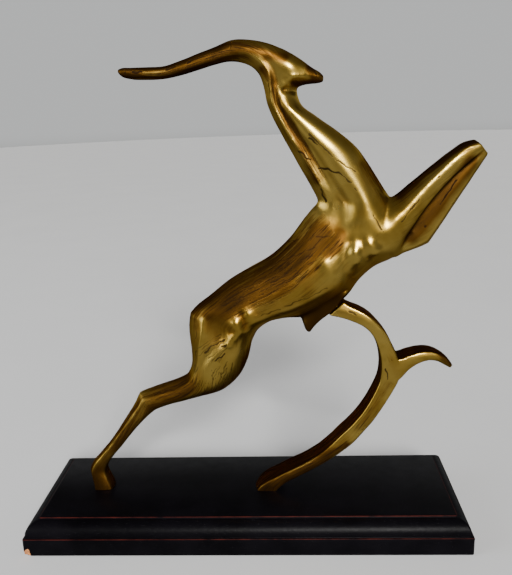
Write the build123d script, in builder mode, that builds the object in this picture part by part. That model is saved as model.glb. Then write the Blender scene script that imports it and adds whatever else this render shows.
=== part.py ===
"""Leaping gazelle mascot in cast brass, on a moulded and lacquered wooden plinth.

Frame: millimetres, origin at the centre of the underside, +X the way the gazelle leaps,
+Y across the figure, +Z up. The figure is symmetric about the plane y = 0.

The castings are described by ribs. A rib is a cross section that stands on the plane
y = 0. It is given as its two edge points (x, z) and its half thickness across the figure.
"""

import os
from math import cos, pi, sin

from build123d import *

os.makedirs("parts", exist_ok=True)

# ---- plinth -------------------------------------------------------------------------
PLINTH_LENGTH = 300.0
PLINTH_DEPTH = 100.0
PLINTH_TOP = 24.0
BAND_TOP = 13.3  # top of the upright lower band
STEP_INSET = 1.4  # little step on which the round moulding stands
ARRIS_HEIGHT = 1.2  # upright lip between the round moulding and the flat top
OVOLO_RADIUS = 8.0  # quarter-round moulding
BAIZE_THICKNESS = 0.8
BAIZE_INSET = 2.0  # gap between the baize and the plinth's edge

# ---- fixings: M4 studs up into the hoof and the branch's foot -------------------------
STUD_RADIUS = 2.0
CLEARANCE_RADIUS = 2.3
COUNTERBORE_RADIUS = 7.0
COUNTERBORE_TOP = 12.0
WASHER_RADIUS = 4.5
WASHER_THICKNESS = 0.8
LOCK_WASHER_RADIUS = 3.8
LOCK_WASHER_THICKNESS = 1.0
LOCK_WASHER_SPLIT = 0.9
NUT_ACROSS_FLATS = 7.0
NUT_THICKNESS = 3.2
STUD_END = 5.5  # height of the studs' lower ends
HOOF_STUD_X = -105.5
HOOF_STUD_TOP = 35.0
FOOT_STUD_X = 13.0
FOOT_STUD_TOP = 28.5

# ---- hidden pegs in the two brazed joints ---------------------------------------------
PEG_RADIUS = 1.75
HORN_PEG_LENGTH = 14.0
BRANCH_PEG_LENGTH = 11.0

# ---- ribs: (rear or upper edge, front or lower edge, half thickness) --------------------
LEG_AND_BODY_RIBS = [
    ((-112.0, PLINTH_TOP), (-97.8, PLINTH_TOP), 7.0),  # sole of the hoof
    ((-113.2, 31.5), (-100.6, 32.5), 6.6),
    ((-114.6, 39.5), (-102.0, 40.0), 6.0),  # fetlock
    ((-110.5, 46.5), (-98.0, 45.0), 6.0),
    ((-104.2, 54.0), (-94.0, 50.0), 6.0),
    ((-94.4, 66.0), (-85.0, 61.0), 6.4),  # shank
    ((-84.0, 80.8), (-73.6, 75.0), 7.0),
    ((-77.5, 91.0), (-68.5, 80.5), 7.5),
    ((-71.5, 99.5), (-62.0, 84.2), 8.2),  # hock
    ((-59.1, 104.2), (-52.5, 88.0), 9.0),
    ((-47.0, 108.0), (-40.0, 91.5), 10.5),
    ((-39.0, 112.0), (-25.0, 95.5), 12.0),
    ((-36.0, 119.0), (-9.5, 102.5), 14.0),  # thigh
    ((-35.4, 132.0), (1.9, 118.6), 16.5),
    ((-35.9, 146.0), (5.8, 131.0), 18.0),
    ((-34.5, 156.0), (11.0, 142.5), 18.5),  # rump
    ((-21.5, 166.6), (20.0, 148.2), 18.5),
    ((-6.6, 178.0), (30.0, 150.8), 18.5),
    ((7.1, 186.0), (43.5, 152.0), 19.0),  # loin
    ((22.0, 194.5), (60.0, 156.5), 20.0),
    ((38.0, 211.0), (74.0, 168.5), 21.0),
    ((52.0, 228.0), (88.5, 184.0), 21.5),  # withers and chest
    ((75.0, 232.0), (98.5, 188.6), 19.0),
]
FORELEG_RIBS = [
    LEG_AND_BODY_RIBS[-1],
    ((98.8, 229.3), (111.5, 194.2), 15.0),
    ((112.0, 239.5), (124.5, 199.5), 13.0),  # folded foreleg
    ((125.5, 250.3), (137.3, 219.9), 11.5),
    ((138.5, 259.8), (149.1, 238.7), 10.0),
    ((149.5, 264.8), (159.0, 255.3), 8.0),  # knee
]
NECK_RIBS = [
    ((46.0, 213.0), (106.0, 221.0), 17.0),
    ((52.7, 229.3), (98.8, 229.3), 17.5),
    ((47.6, 239.1), (92.3, 239.7), 16.0),
    ((41.4, 250.1), (85.5, 250.4), 15.0),
    ((35.3, 261.6), (77.4, 262.0), 13.5),
    ((29.2, 272.9), (65.0, 272.6), 12.0),
    ((24.0, 283.5), (51.0, 282.6), 10.5),
    ((20.4, 295.7), (41.0, 294.0), 9.5),  # throat
    ((18.8, 303.5), (41.5, 303.5), 9.5),
    ((16.5, 308.6), (39.0, 318.3), 9.5),  # brow
    ((11.7, 313.0), (27.0, 324.4), 8.5),
    ((6.0, 315.2), (14.5, 328.0), 8.0),
    ((-0.5, 316.0), (0.5, 328.3), 7.5),  # root of the horn
]
MUZZLE_RIBS = [
    ((27.0, 321.0), (27.0, 301.0), 8.5),
    ((37.0, 319.0), (38.0, 299.8), 8.5),
    ((46.0, 313.4), (46.0, 300.6), 7.0),
    ((52.3, 308.8), (52.0, 301.2), 5.0),
    ((56.6, 305.8), (55.6, 302.2), 2.5),  # nose
]
SPUR_RIBS = [
    ((40.0, 158.0), (66.0, 163.0), 8.0),
    ((40.5, 150.4), (59.5, 153.0), 6.0),
    ((42.5, 143.5), (50.5, 145.4), 4.0),
    ((44.6, 139.9), (45.8, 139.9), 2.0),
]
HORN_RIBS = [
    NECK_RIBS[-1],
    ((-10.0, 314.6), (-9.5, 325.1), 7.0),
    ((-19.4, 312.0), (-20.5, 321.5), 6.5),
    ((-32.1, 308.9), (-33.5, 317.2), 6.0),
    ((-41.7, 307.2), (-42.0, 315.0), 5.5),
    ((-53.0, 307.1), (-52.5, 314.9), 5.0),
    ((-65.5, 308.3), (-66.0, 314.9), 4.0),
    ((-69.7, 311.2), (-70.6, 313.8), 2.5),  # tip
]
# The branch springs from the flat front face of the spur.
BRANCH_JOINT = ((68.7, 161.8), (59.5, 153.0))
BRANCH_RIBS = [
    (*BRANCH_JOINT, 7.0),
    ((73.0, 159.3), (69.0, 150.4), 8.0),
    ((80.0, 155.9), (75.5, 147.7), 9.0),
    ((86.3, 151.7), (81.0, 145.2), 9.6),
    ((92.0, 145.7), (85.5, 141.4), 9.6),
    ((96.7, 138.7), (88.7, 136.3), 9.6),
    ((100.2, 130.8), (91.4, 129.4), 9.6),
    ((104.0, 122.3), (92.9, 121.4), 9.6),  # leaf springs off here
    ((106.3, 114.0), (93.0, 113.0), 9.6),
    ((105.0, 106.8), (91.8, 105.7), 9.6),
    ((100.7, 98.1), (89.7, 100.3), 9.6),
    ((94.7, 87.8), (85.8, 92.0), 9.6),
    ((88.1, 77.6), (80.1, 82.8), 9.6),
    ((81.5, 69.2), (73.4, 74.5), 9.6),
    ((74.5, 61.0), (66.9, 68.0), 9.6),
    ((66.0, 54.0), (59.4, 60.2), 9.6),
    ((56.1, 47.2), (50.8, 52.4), 9.6),
    ((45.8, 41.1), (42.0, 46.7), 9.6),
    ((35.7, 35.5), (32.1, 41.4), 9.6),
    ((26.7, 30.2), (22.9, 36.5), 9.6),
    ((19.6, 26.1), (13.9, 31.3), 9.4),
    ((17.0, PLINTH_TOP), (4.2, PLINTH_TOP), 9.0),  # sole of the foot
]
LEAF_RIBS = [
    ((100.0, 122.6), (99.0, 102.9), 9.3),
    ((107.0, 122.9), (106.5, 107.2), 9.3),
    ((113.0, 124.9), (112.5, 113.5), 8.8),
    ((120.0, 126.5), (119.5, 118.1), 8.2),
    ((127.2, 126.5), (126.6, 119.6), 7.5),
    ((133.6, 123.7), (131.6, 118.4), 6.6),
    ((138.4, 120.0), (136.2, 115.6), 5.2),
    ((142.7, 113.9), (141.4, 112.8), 3.4),
]
BAR_CORNER = 0.22  # corner radius of the branch's section, as a share of its width
OVAL_SIDES = 12  # an oval section is drawn with this many straight sides


def rib_plane(first, second):
    """Plane of a rib, centred between its edge points, with its local Y across the figure."""
    start = Vector(first[0], 0, first[1])
    end = Vector(second[0], 0, second[1])
    along = end - start
    return Plane(origin=(start + end) / 2, x_dir=along, z_dir=along.cross(Vector(0, 1, 0)))


def rib_width(first, second):
    return (Vector(*first) - Vector(*second)).length


def round_limb(ribs):
    """Adds a limb of oval section through its ribs."""
    turns = [2 * pi * side / OVAL_SIDES for side in range(OVAL_SIDES)]
    sections = []
    for first, second, half_thickness in ribs:
        half_width = rib_width(first, second) / 2
        corners = [(half_width * cos(turn), half_thickness * sin(turn)) for turn in turns]
        with BuildSketch(rib_plane(first, second)) as section:
            Polygon(*corners, align=None)
        sections.append(section.sketch)
    loft(sections, ruled=True)


def square_limb(ribs):
    """Adds a bar of rounded rectangular section through its ribs."""
    sections = []
    for first, second, half_thickness in ribs:
        width = rib_width(first, second)
        corner = BAR_CORNER * min(width, 2 * half_thickness)
        with BuildSketch(rib_plane(first, second)) as section:
            RectangleRounded(width, 2 * half_thickness, corner)
        sections.append(section.sketch)
    loft(sections, ruled=True)


def plain_hole(plane, radius, half_length):
    """Cuts a round hole that runs the same distance either side of a plane."""
    with BuildSketch(plane) as outline:
        Circle(radius)
    extrude(outline.sketch, amount=half_length, both=True, mode=Mode.SUBTRACT)


def blind_hole_up(x, radius, bottom, top):
    """Cuts a hole along Z between two heights on the plane y = 0."""
    with BuildSketch(Plane((x, 0, bottom))) as outline:
        Circle(radius)
    extrude(outline.sketch, amount=top - bottom, mode=Mode.SUBTRACT)


def save(part, label):
    part.label = label
    export_step(part, f"parts/{label}.step")


horn_joint = rib_plane(*HORN_RIBS[0][:2])
branch_joint = rib_plane(*BRANCH_JOINT)

# ---- plinth: one moulded board ----------------------------------------------------------
with BuildPart() as plinth:
    with BuildSketch(Plane.XY.offset(BAIZE_THICKNESS)):
        Rectangle(PLINTH_LENGTH, PLINTH_DEPTH)
    extrude(amount=BAND_TOP - BAIZE_THICKNESS)
    with BuildSketch(Plane.XY.offset(BAND_TOP)):
        Rectangle(PLINTH_LENGTH - 2 * STEP_INSET, PLINTH_DEPTH - 2 * STEP_INSET)
    extrude(amount=PLINTH_TOP - ARRIS_HEIGHT - BAND_TOP)
    fillet(plinth.edges().group_by(Axis.Z)[-1], radius=OVOLO_RADIUS)
    flat_inset = STEP_INSET + OVOLO_RADIUS
    with BuildSketch(Plane.XY.offset(PLINTH_TOP - ARRIS_HEIGHT)):
        Rectangle(PLINTH_LENGTH - 2 * flat_inset, PLINTH_DEPTH - 2 * flat_inset)
    extrude(amount=ARRIS_HEIGHT)
    for stud_x in (HOOF_STUD_X, FOOT_STUD_X):
        blind_hole_up(stud_x, CLEARANCE_RADIUS, BAIZE_THICKNESS, PLINTH_TOP)
        blind_hole_up(stud_x, COUNTERBORE_RADIUS, BAIZE_THICKNESS, COUNTERBORE_TOP)
save(plinth.part, "plinth")

with BuildPart() as base_baize:
    with BuildSketch():
        Rectangle(PLINTH_LENGTH - 2 * BAIZE_INSET, PLINTH_DEPTH - 2 * BAIZE_INSET)
    extrude(amount=BAIZE_THICKNESS)
save(base_baize.part, "base_baize")

# ---- brass castings ----------------------------------------------------------------------
with BuildPart() as gazelle_casting:
    round_limb(LEG_AND_BODY_RIBS)
    round_limb(FORELEG_RIBS)
    round_limb(NECK_RIBS)
    round_limb(MUZZLE_RIBS)
    square_limb(SPUR_RIBS)
    split(bisect_by=Plane.XY.offset(PLINTH_TOP), keep=Keep.TOP)
    plain_hole(horn_joint, PEG_RADIUS, HORN_PEG_LENGTH / 2)
    plain_hole(branch_joint, PEG_RADIUS, BRANCH_PEG_LENGTH / 2)
    blind_hole_up(HOOF_STUD_X, STUD_RADIUS, PLINTH_TOP, HOOF_STUD_TOP)
save(gazelle_casting.part, "gazelle_casting")

with BuildPart() as horn_casting:
    round_limb(HORN_RIBS)
    plain_hole(horn_joint, PEG_RADIUS, HORN_PEG_LENGTH / 2)
save(horn_casting.part, "horn_casting")

with BuildPart() as branch_casting:
    square_limb(BRANCH_RIBS)
    square_limb(LEAF_RIBS)
    plain_hole(branch_joint, PEG_RADIUS, BRANCH_PEG_LENGTH / 2)
    blind_hole_up(FOOT_STUD_X, STUD_RADIUS, PLINTH_TOP, FOOT_STUD_TOP)
save(branch_casting.part, "branch_casting")

# ---- hidden pegs ---------------------------------------------------------------------------
for label, plane, length in (
    ("horn_peg", horn_joint, HORN_PEG_LENGTH),
    ("branch_peg", branch_joint, BRANCH_PEG_LENGTH),
):
    with BuildPart() as peg:
        with BuildSketch(plane):
            Circle(PEG_RADIUS)
        extrude(amount=length / 2, both=True)
        chamfer(peg.edges().filter_by(GeomType.CIRCLE), length=0.4)
    save(peg.part, label)

# ---- studs, washers and nuts under the plinth --------------------------------------------------
WASHER_BOTTOM = COUNTERBORE_TOP - WASHER_THICKNESS
LOCK_WASHER_BOTTOM = WASHER_BOTTOM - LOCK_WASHER_THICKNESS
NUT_BOTTOM = LOCK_WASHER_BOTTOM - NUT_THICKNESS
for foot, stud_x, stud_top in (
    ("hoof", HOOF_STUD_X, HOOF_STUD_TOP),
    ("foot", FOOT_STUD_X, FOOT_STUD_TOP),
):
    with BuildPart() as stud:
        with BuildSketch(Plane((stud_x, 0, STUD_END))):
            Circle(STUD_RADIUS)
        extrude(amount=stud_top - STUD_END)
        chamfer(stud.edges().filter_by(GeomType.CIRCLE), length=0.4)
    save(stud.part, f"{foot}_stud")

    with BuildPart() as washer:
        with BuildSketch(Plane((stud_x, 0, WASHER_BOTTOM))):
            Circle(WASHER_RADIUS)
            Circle(STUD_RADIUS + 0.15, mode=Mode.SUBTRACT)
        extrude(amount=WASHER_THICKNESS)
    save(washer.part, f"{foot}_washer")

    with BuildPart() as lock_washer:
        with BuildSketch(Plane((stud_x, 0, LOCK_WASHER_BOTTOM))):
            Circle(LOCK_WASHER_RADIUS)
            Circle(STUD_RADIUS + 0.05, mode=Mode.SUBTRACT)
            with Locations((LOCK_WASHER_RADIUS, 0)):
                Rectangle(2 * LOCK_WASHER_RADIUS, LOCK_WASHER_SPLIT, mode=Mode.SUBTRACT)
        extrude(amount=LOCK_WASHER_THICKNESS)
    save(lock_washer.part, f"{foot}_lock_washer")

    with BuildPart() as nut:
        with BuildSketch(Plane((stud_x, 0, NUT_BOTTOM))):
            RegularPolygon(NUT_ACROSS_FLATS / 2, 6, major_radius=False)
        extrude(amount=NUT_THICKNESS)
        chamfer(nut.faces().sort_by(Axis.Z)[0].edges(), length=0.35)
        blind_hole_up(stud_x, STUD_RADIUS, NUT_BOTTOM, LOCK_WASHER_BOTTOM)
    save(nut.part, f"{foot}_nut")
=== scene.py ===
"""Leaping gazelle mascot on a moulded plinth: the visual model, built around the CAD frame.

The castings are sculpted from limbs. A limb is a list of ribs, in millimetres, and a rib
is a cross section that stands on the figure's own plane, y = 0. It is given as its two edge
points (x, z) and, between them, its ridges and hollows: the shares of the way across where they
lie, then their depths. The depths hold for both sides of the figure, which is symmetric.
"""

import math

import bmesh
import bpy
import numpy as np
from mathutils import Matrix, Vector, kdtree, noise


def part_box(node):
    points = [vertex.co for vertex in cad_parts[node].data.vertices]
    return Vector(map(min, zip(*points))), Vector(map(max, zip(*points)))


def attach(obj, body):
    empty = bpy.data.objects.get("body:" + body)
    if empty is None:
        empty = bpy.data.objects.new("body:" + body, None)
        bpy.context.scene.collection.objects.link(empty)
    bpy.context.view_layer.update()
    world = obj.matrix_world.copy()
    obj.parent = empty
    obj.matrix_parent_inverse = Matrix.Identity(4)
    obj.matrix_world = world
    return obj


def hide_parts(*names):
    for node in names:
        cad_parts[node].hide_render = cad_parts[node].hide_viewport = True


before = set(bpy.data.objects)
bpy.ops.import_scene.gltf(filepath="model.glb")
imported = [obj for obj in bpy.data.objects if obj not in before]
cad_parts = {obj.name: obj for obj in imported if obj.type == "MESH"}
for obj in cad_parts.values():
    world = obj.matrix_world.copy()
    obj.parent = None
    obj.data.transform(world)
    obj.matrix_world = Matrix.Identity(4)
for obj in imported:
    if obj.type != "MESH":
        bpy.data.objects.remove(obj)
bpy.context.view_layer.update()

MM = 0.001

# ---- sizes taken from the frame ----
plinth_low, plinth_high = (Vector(corner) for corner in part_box("plinth"))
baize_low, baize_high = (Vector(corner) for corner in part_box("base_baize"))
PLINTH_TOP = plinth_high.z / MM

# ---- how the castings are meshed ----
STEPS_ALONG = 6  # rows between two ribs
STEPS_ACROSS = 5  # columns between two points of a rib
FIGURE_VOXEL = 0.62  # mm, grid on which a casting's limbs are merged
BRANCH_VOXEL = 0.45
SMOOTHING_ROUNDS = 4
FINISH_WAVE = 0.10  # mm, height of the hand finishing's waves
FINISH_WAVE_LENGTH = 9.0  # mm


# ---- Ribs of the gazelle. The comment on each list names the points between the edges ----
# rear ridge, flank, thigh ridge, lower flank, belly ridge
LEG_AND_BODY = [
    ((-112.2, 22), (-97.4, 22), (0.1, 0.3, 0.5, 0.72, 0.93), (6.4, 7, 7.2, 6.8, 6.2)),
    ((-112.2, 25.5), (-98.4, 26.5), (0.1, 0.3, 0.5, 0.72, 0.93), (6.4, 7, 7.1, 6.8, 6.1)),
    ((-113.4, 32), (-101, 33), (0.14, 0.32, 0.5, 0.72, 0.94), (5.9, 6.4, 6.5, 6.3, 5.6)),
    ((-114.4, 38.2), (-102.2, 38), (0.17, 0.34, 0.52, 0.74, 0.94), (5.6, 5.9, 6, 5.8, 5)),
    ((-111.2, 45), (-100.2, 43.4), (0.19, 0.36, 0.54, 0.74, 0.94), (5.7, 5.9, 6, 5.8, 5)),
    ((-106.1, 50.8), (-97.9, 46.9), (0.21, 0.38, 0.55, 0.74, 0.94), (5.8, 6, 6, 5.9, 5)),
    ((-96.1, 62.6), (-89, 57.4), (0.22, 0.38, 0.55, 0.74, 0.94), (6, 6.2, 6.2, 6, 5.2)),
    ((-85.3, 78.2), (-76.6, 72.2), (0.23, 0.4, 0.58, 0.76, 0.94), (6.3, 6.7, 6.7, 6.4, 5.4)),
    ((-77.8, 89.6), (-68, 80.6), (0.26, 0.42, 0.6, 0.78, 0.94), (6.7, 7.1, 7.2, 6.8, 5.4)),
    ((-73.8, 97.4), (-62.6, 84.8), (0.29, 0.44, 0.6, 0.78, 0.93), (7.2, 7.7, 7.8, 7.2, 5.4)),
    ((-60.5, 102.6), (-54.5, 88), (0.31, 0.45, 0.6, 0.78, 0.92), (7.6, 8.2, 8.3, 7.7, 5.6)),
    ((-46.5, 107.4), (-40.5, 91.9), (0.3, 0.42, 0.58, 0.76, 0.92), (8, 9.1, 9.6, 8.8, 6)),
    ((-39, 110.9), (-29.5, 94.8), (0.2, 0.32, 0.5, 0.72, 0.91), (8.8, 10, 11, 10.2, 6.6)),
    ((-36, 117), (-14.5, 99.2), (0.14, 0.24, 0.38, 0.66, 0.9), (10.2, 11.4, 12.8, 12, 7.6)),
    ((-35.2, 126.6), (-1.8, 111), (0.15, 0.23, 0.38, 0.68, 0.91), (11.6, 12.2, 14.4, 13.8, 8.6)),
    ((-35.9, 138), (4.2, 123.8), (0.19, 0.32, 0.54, 0.76, 0.92), (12.8, 12.9, 16.1, 14.6, 9.6)),
    ((-35.9, 148), (7.6, 136.2), (0.23, 0.45, 0.7, 0.83, 0.93), (13.6, 13.9, 17.4, 15, 10.4)),
    ((-34.6, 155.2), (11.2, 142.6), (0.21, 0.42, 0.74, 0.85, 0.93), (13.4, 15, 17.9, 15.2, 10.4)),
    ((-30.8, 159.4), (15.5, 146.2), (0.16, 0.38, 0.7, 0.84, 0.93), (12.2, 16, 17.9, 15.2, 10)),
    ((-20.6, 167.2), (20.6, 148.9), (0.12, 0.34, 0.62, 0.82, 0.93), (10.8, 16.2, 17.8, 15.4, 9.6)),
    ((-6.6, 178), (30.5, 150.6), (0.11, 0.32, 0.56, 0.78, 0.92), (10.4, 16, 17.6, 15.4, 9.4)),
    ((7.1, 186), (42, 150.6), (0.11, 0.31, 0.53, 0.73, 0.86), (10.4, 16.2, 17.9, 15.8, 9.8)),
    ((21, 193.8), (57, 155), (0.11, 0.3, 0.52, 0.7, 0.82), (10.6, 16.6, 18.4, 16.4, 10.4)),
    ((34, 205.4), (70.5, 164), (0.11, 0.3, 0.52, 0.72, 0.86), (10.8, 16.4, 18.9, 17, 10.6)),
    ((45, 219.6), (80.5, 177.2), (0.12, 0.3, 0.52, 0.74, 0.89), (8.8, 13.2, 17.8, 17, 10.2)),
    ((53, 228), (89.8, 185), (0.14, 0.32, 0.54, 0.75, 0.9), (7.8, 12.2, 17, 16.8, 9.8)),
    ((70, 227), (99.5, 189.2), (0.16, 0.34, 0.56, 0.76, 0.91), (8, 12, 16.2, 15.6, 8.8)),
    ((88, 220), (106, 193), (0.18, 0.36, 0.56, 0.76, 0.9), (8, 10, 11, 10.5, 7)),
]
# sharpness of each of the five lines above at each rib, from 0, round, to 1, an arris
LEG_AND_BODY_CORNERS = [(0.7, 0, 0, 0, 0.8)] * 4 + [(1.0, 0, 0, 0, 0.9)] * 8 + [
    (1.0, 0, 0, 0, 0.9),
    (1.0, 0, 0.2, 0, 0.6),
    (1.0, 0, 0.5, 0, 0.5),
    (1.0, 0, 0.7, 0, 0.5),
    (0.9, 0, 0.5, 0, 0.5),
    (0.5, 0, 0.3, 0, 0.5),
    (0.1, 0, 0.1, 0, 0.6),
    (0, 0, 0, 0, 0.7),
    (0, 0, 0, 0, 0.8),
    (0, 0, 0, 0, 0.8),
    (0, 0, 0, 0, 0.8),
    (0, 0, 0, 0, 0.7),
    (0, 0, 0, 0, 0.5),
    (0, 0, 0, 0, 0.3),
    (0, 0, 0, 0, 0.2),
    (0, 0, 0, 0, 0),
]
# ribs where the outline turns sharply: how sharply at the first edge and at the second
LEG_AND_BODY_BENDS = {3: (0.5, 0.2), 9: (0.7, 0.2), 12: (0.6, 0.0), 17: (0.9, 0.0)}

# rear ridge, groove, swell, middle ridge, front; from the shoulder up, over the head, to the horn's tip
NECK_AND_HORN = [
    ((47, 206), (117, 208), (0.18, 0.38, 0.52, 0.665, 0.83), (11.5, 16.2, 17.1, 17.4, 12.8)),
    ((50, 217.5), (107.5, 219), (0.21, 0.38, 0.49, 0.61, 0.8), (10.2, 13.8, 15.9, 16.8, 12.2)),
    ((52.4, 228.6), (99.2, 229.2), (0.18, 0.31, 0.46, 0.61, 0.82), (9.1, 8.7, 13.3, 15.6, 11)),
    ((47.6, 239.1), (92.3, 239.7), (0.15, 0.28, 0.46, 0.64, 0.84), (9.4, 8.5, 13.1, 14.6, 10.6)),
    ((41.4, 250.1), (85.6, 250.4), (0.145, 0.275, 0.45, 0.62, 0.83), (9.2, 8.3, 12.7, 14, 10.8)),
    ((35.3, 261.6), (77.4, 262), (0.135, 0.265, 0.43, 0.59, 0.81), (9, 8.1, 12.1, 13.2, 10.6)),
    ((29.2, 272.9), (65, 272.6), (0.125, 0.255, 0.41, 0.56, 0.8), (8.6, 7.7, 11.2, 12, 9.6)),
    ((24, 283.5), (51.2, 282.6), (0.155, 0.285, 0.43, 0.58, 0.81), (8.2, 7.3, 10.2, 10.8, 8)),
    ((21.2, 291.5), (42.8, 289.5), (0.17, 0.3, 0.44, 0.58, 0.8), (8, 7.1, 9.2, 9.4, 6.6)),
    ((20.2, 297.5), (40.6, 296.5), (0.2, 0.33, 0.46, 0.6, 0.8), (8.2, 7.3, 7.9, 7.6, 5.2)),
    ((18.9, 303), (42, 304), (0.22, 0.35, 0.48, 0.62, 0.82), (8.8, 7.8, 8.1, 7.6, 5.6)),
    ((17, 307.8), (38.5, 318), (0.25, 0.38, 0.5, 0.62, 0.82), (9.2, 8.2, 8.4, 8, 6)),
    ((13.2, 312), (27.4, 324.5), (0.31, 0.48, 0.57, 0.66, 0.83), (8.2, 8, 8.1, 7.8, 5.9)),
    ((6.5, 315.1), (15, 328.1), (0.38, 0.52, 0.6, 0.68, 0.84), (7.3, 7.3, 7.3, 6.7, 4.8)),
    ((-0.6, 316), (0.6, 328.7), (0.27, 0.46, 0.56, 0.66, 0.83), (6, 6.2, 6.1, 5.7, 4.1)),
    ((-10, 314.5), (-9.5, 325.2), (0.23, 0.44, 0.55, 0.65, 0.83), (5.4, 5.6, 5.6, 5.2, 3.8)),
    ((-19.4, 312), (-20.5, 321.6), (0.23, 0.44, 0.55, 0.65, 0.83), (5.1, 5.3, 5.3, 4.9, 3.6)),
    ((-32.1, 308.9), (-33.5, 317.2), (0.26, 0.46, 0.56, 0.66, 0.84), (4.8, 5, 5, 4.6, 3.4)),
    ((-41.7, 307.2), (-42, 315), (0.28, 0.48, 0.58, 0.68, 0.85), (4.6, 4.8, 4.8, 4.5, 3.3)),
    ((-53, 307), (-52.5, 314.8), (0.3, 0.5, 0.6, 0.7, 0.86), (4.3, 4.6, 4.6, 4.2, 3.1)),
    ((-63, 307.8), (-62.6, 314.8), (0.3, 0.5, 0.6, 0.7, 0.86), (3.6, 3.9, 3.9, 3.6, 2.8)),
    ((-68.6, 309.6), (-69, 314.6), (0.28, 0.5, 0.61, 0.72, 0.88), (2.7, 2.9, 3, 2.7, 1.9)),
    ((-70.6, 311.6), (-70.9, 313.8), (0.28, 0.5, 0.61, 0.72, 0.88), (1.5, 1.7, 1.8, 1.5, 1.1)),
]
NECK_AND_HORN_CORNERS = (
    [(0.2, 0, 0, 0.1, 0)] * 2
    + [(0.6, 0, 0, 0, 0)]
    + [(1, 0, 0, 0, 0)] * 4
    + [(1, 0, 0, 0.2, 0)]
    + [(1, 0, 0, 0.4, 0)] * 2
    + [(1, 0, 0, 0.1, 0)] * 2
    + [(0.9, 0, 0, 0, 0)] * 8
    + [(0.4, 0, 0, 0, 0)] * 3
)
NECK_AND_HORN_BENDS = {2: (0.5, 0.3)}

# cheek, jaw ridge, lower jaw
MUZZLE = [
    ((16, 320), (21, 306), (0.25, 0.6, 0.86), (3, 4, 3)),
    ((29.5, 323.5), (33, 299.5), (0.28, 0.64, 0.9), (7.4, 8.4, 7.2)),
    ((36.5, 320.1), (39.5, 299), (0.28, 0.67, 0.79), (7.4, 8.8, 6.4)),
    ((44.3, 315.1), (44, 300.5), (0.25, 0.58, 0.77), (6, 7.3, 5.8)),
    ((50.4, 310.6), (49.8, 301.2), (0.22, 0.48, 0.74), (4.4, 5.6, 4.6)),
    ((54.4, 308.2), (54, 301.5), (0.2, 0.42, 0.7), (3.2, 4.4, 3.8)),
    ((56.8, 305.8), (56.5, 302.2), (0.25, 0.5, 0.75), (2.4, 2.8, 2.4)),
]
MUZZLE_CORNERS = [(0, 0.2, 0.2)] + [(0, 0.6, 0.5)] * 5 + [(0, 0.3, 0)]

# ridge, upper leg, its lower edge, step down to the folded cannon, cannon, bevel
FORELEG = [
    ((79, 221), (103, 190), (0.5, 0.62, 0.74, 0.82, 0.9, 0.96), (17.2, 16, 14, 12, 9.5, 6.5)),
    ((84, 224), (105.5, 191.8), (0.46, 0.62, 0.88, 0.91, 0.94, 0.97), (16.8, 15.2, 9.8, 7, 6.3, 5)),
    ((88, 226), (112.4, 194.6), (0.41, 0.56, 0.74, 0.77, 0.87, 0.95), (16.2, 14.9, 12, 6.8, 6.8, 5.6)),
    ((93, 228.2), (120, 197.4), (0.31, 0.46, 0.61, 0.645, 0.8, 0.93), (15.4, 14.6, 12, 6.6, 7.2, 6)),
    ((98.8, 229.6), (124.2, 199.4), (0.24, 0.39, 0.53, 0.565, 0.75, 0.92), (14.6, 14.2, 11.8, 6.5, 7.2, 6.2)),
    ((111, 238.4), (132.8, 213), (0.19, 0.33, 0.47, 0.505, 0.72, 0.92), (13, 12.7, 11.2, 6.4, 7.2, 6.2)),
    ((123.5, 248.4), (141.3, 226.6), (0.17, 0.32, 0.455, 0.49, 0.7, 0.91), (11.6, 11.3, 10.2, 6.2, 7, 6)),
    ((135.5, 257.4), (149.1, 239), (0.14, 0.31, 0.48, 0.52, 0.7, 0.9), (10.2, 10.1, 9.2, 6, 6.6, 5.6)),
    ((144.5, 263.2), (154.8, 248.2), (0.17, 0.34, 0.54, 0.59, 0.74, 0.89), (9, 9, 8.2, 6, 6.1, 5.2)),
    ((150.6, 264.6), (159.1, 255), (0.24, 0.4, 0.56, 0.64, 0.76, 0.88), (7.4, 7.5, 7, 6.2, 5.8, 5)),
]
FORELEG_CORNERS = (
    [(0.1, 0, 0, 0, 0, 0.2)]
    + [(0.2, 0, 0.8, 0.8, 0, 0.6)] * 2
    + [(0.4, 0, 0.9, 0.9, 0, 0.9)] * 6
    + [(0.6, 0, 0.4, 0.4, 0, 0.8)]
)
FORELEG_BENDS = {4: (0.0, 1.0)}

# upper arris, flat, lower arris
SPUR = [
    ((39, 164), (73, 170), (0.05, 0.5, 0.95), (9, 9.5, 8.5)),
    ((40.4, 151.2), (61.8, 155.6), (0.05, 0.5, 0.96), (4.6, 5.4, 5.8)),
    ((42, 145.2), (52.4, 147.2), (0.07, 0.5, 0.94), (2.8, 3.4, 3.2)),
    ((43.4, 141.4), (48.6, 142.8), (0.12, 0.5, 0.88), (1.9, 2.3, 1.9)),
    ((45, 139.6), (46.8, 140.1), (0.2, 0.5, 0.8), (1, 1.2, 1)),
]
SPUR_CORNERS = [(0.9, 0, 0.9)] * 4 + [(0.4, 0, 0.4)]

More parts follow.
